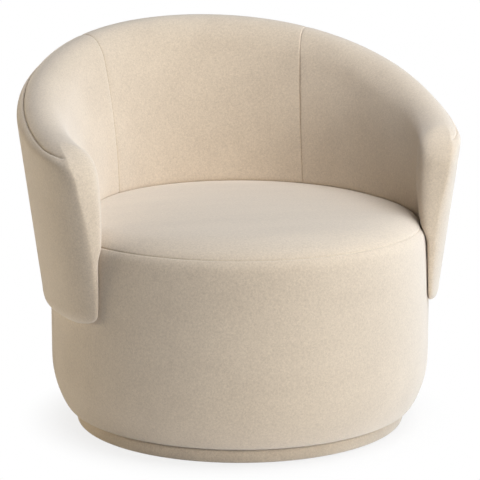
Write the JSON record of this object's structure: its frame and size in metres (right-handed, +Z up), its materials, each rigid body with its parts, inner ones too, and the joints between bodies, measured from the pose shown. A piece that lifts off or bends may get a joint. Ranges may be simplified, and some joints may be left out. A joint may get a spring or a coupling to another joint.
{
  "type": "swivel tub chair",
  "caption": "Upholstered swivel tub chair: a drum-shaped seat wrapped by one curved back and arms with a rolled top edge, turning on a low round plinth.",
  "frame": {"origin": "on the floor under the middle of the plinth, on the swivel axis", "axes": "+Z up along the swivel axis, -Y towards the front of the seat, +X towards the sitter's left arm"},
  "size_m": [0.8067, 0.7644, 0.7126],
  "materials": {
    "cover_fabric": "short-nap woven upholstery, beige",
    "foam": "open-cell foam",
    "felt": "needled felt",
    "dust_sheet": "thin non-woven sheet",
    "plywood": "raw plywood",
    "bent_board": "thin bent board",
    "zinc_steel": "zinc plated",
    "spring_steel": "oiled spring wire",
    "glide_plastic": "moulded",
    "clip_plastic": "moulded"
  },
  "bodies": {
    "base": {"plinth_board": "plywood", "plinth_cover": "cover_fabric", "plinth_dust_sheet": "dust_sheet", "centre_glide": "glide_plastic", "rim_glides": "glide_plastic", "swivel_lower_plate": "zinc_steel", "lower_plate_screws": "zinc_steel", "swivel_pivot": "zinc_steel"},
    "ball_race": {"ball_cage": "clip_plastic", "bearing_balls": "zinc_steel"},
    "chair": {"arm_front_pad_left": "cover_fabric", "arm_front_pad_right": "cover_fabric", "back_bolts": "zinc_steel", "back_mount_rail": "plywood", "back_shell_board": "bent_board", "back_tee_nuts": "zinc_steel", "drum_base_board": "plywood", "drum_former_1": "plywood", "drum_former_2": "plywood", "drum_former_3": "plywood", "drum_former_4": "plywood", "drum_former_5": "plywood", "drum_former_6": "plywood", "drum_former_7": "plywood", "drum_former_8": "plywood", "drum_side_cover": "cover_fabric", "drum_side_foam": "foam", "drum_wrap_board": "bent_board", "inside_cover_back": "cover_fabric", "inside_cover_left_arm": "cover_fabric", "inside_cover_right_arm": "cover_fabric", "inside_foam_back": "foam", "inside_foam_left_arm": "foam", "inside_foam_right_arm": "foam", "outside_cover": "cover_fabric", "outside_padding": "foam", "seat_foam": "foam", "seat_ring": "plywood", "seat_spring_1": "spring_steel", "seat_spring_2": "spring_steel", "seat_spring_3": "spring_steel", "seat_spring_4": "spring_steel", "seat_spring_5": "spring_steel", "seat_top_cover": "cover_fabric", "spring_clips": "clip_plastic", "spring_felt": "felt", "swivel_upper_plate": "zinc_steel", "top_rail_back": "plywood", "top_rail_left_arm": "plywood", "top_rail_right_arm": "plywood", "upper_plate_screws": "zinc_steel"}
  },
  "joints": [
    {"name": "swivel", "type": "hinge", "parent": "base", "child": "chair", "pos_m": [0, 0, 0.0305], "axis": [0, 0, 1], "continuous": true},
    {"name": "ball_race_turn", "type": "hinge", "parent": "base", "child": "ball_race", "pos_m": [0, 0, 0.0305], "axis": [0, 0, 1], "continuous": true}
  ],
  "couplings": [
    {"joint": "ball_race_turn", "follows": "swivel", "ratio": 0.5}
  ]
}
